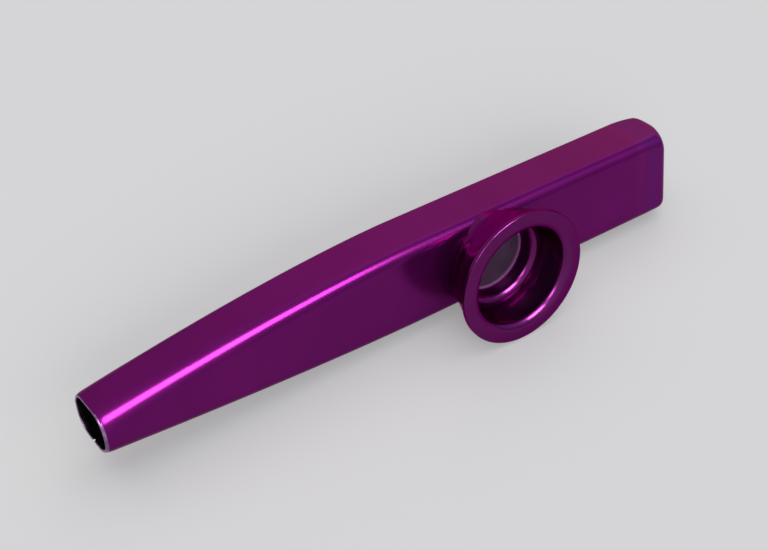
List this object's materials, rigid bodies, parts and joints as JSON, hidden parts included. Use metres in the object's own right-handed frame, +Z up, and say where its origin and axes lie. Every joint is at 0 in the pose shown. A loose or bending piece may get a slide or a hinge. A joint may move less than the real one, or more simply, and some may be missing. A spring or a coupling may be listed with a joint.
{
  "type": "kazoo",
  "caption": "Anodised metal kazoo: a long body that narrows to an oval mouthpiece, with a screw-in bell horn that clamps a thin film.",
  "frame": {"origin": "on the surface it lies on, below the middle of its bounding box", "axes": "+X along the body from the mouthpiece to the far end, -Y the way the horn faces, +Z up as it lies on the horn's rim and its back edge"},
  "size_m": [0.1226, 0.0246, 0.0255],
  "materials": {
    "purple_anodised": "bright purple anodising over polished aluminium",
    "film_ring": "matt pale card-like plastic",
    "film": "thin smoky translucent film"
  },
  "bodies": {
    "body": {"body_shell": "purple_anodised", "back_plate": "purple_anodised", "turret_collar": "purple_anodised"},
    "film": {"film_disc": "film", "film_ring": "film_ring"},
    "horn": {"horn_cup": "purple_anodised"}
  },
  "joints": [
    {"name": "film_lift", "type": "slide", "parent": "body", "child": "film", "axis": [0, -0.9726, 0.2327], "range_m": [0, 0.0018]},
    {"name": "horn_screw", "type": "hinge", "parent": "film", "child": "horn", "pos_m": [0.01625, 0.00028, 0.01058], "axis": [0, -0.9726, 0.2327], "range_deg": [0, 864]}
  ],
  "couplings": [
    {"joint": "film_lift", "follows": "horn_screw", "m_per_rad": 0.00011937}
  ]
}
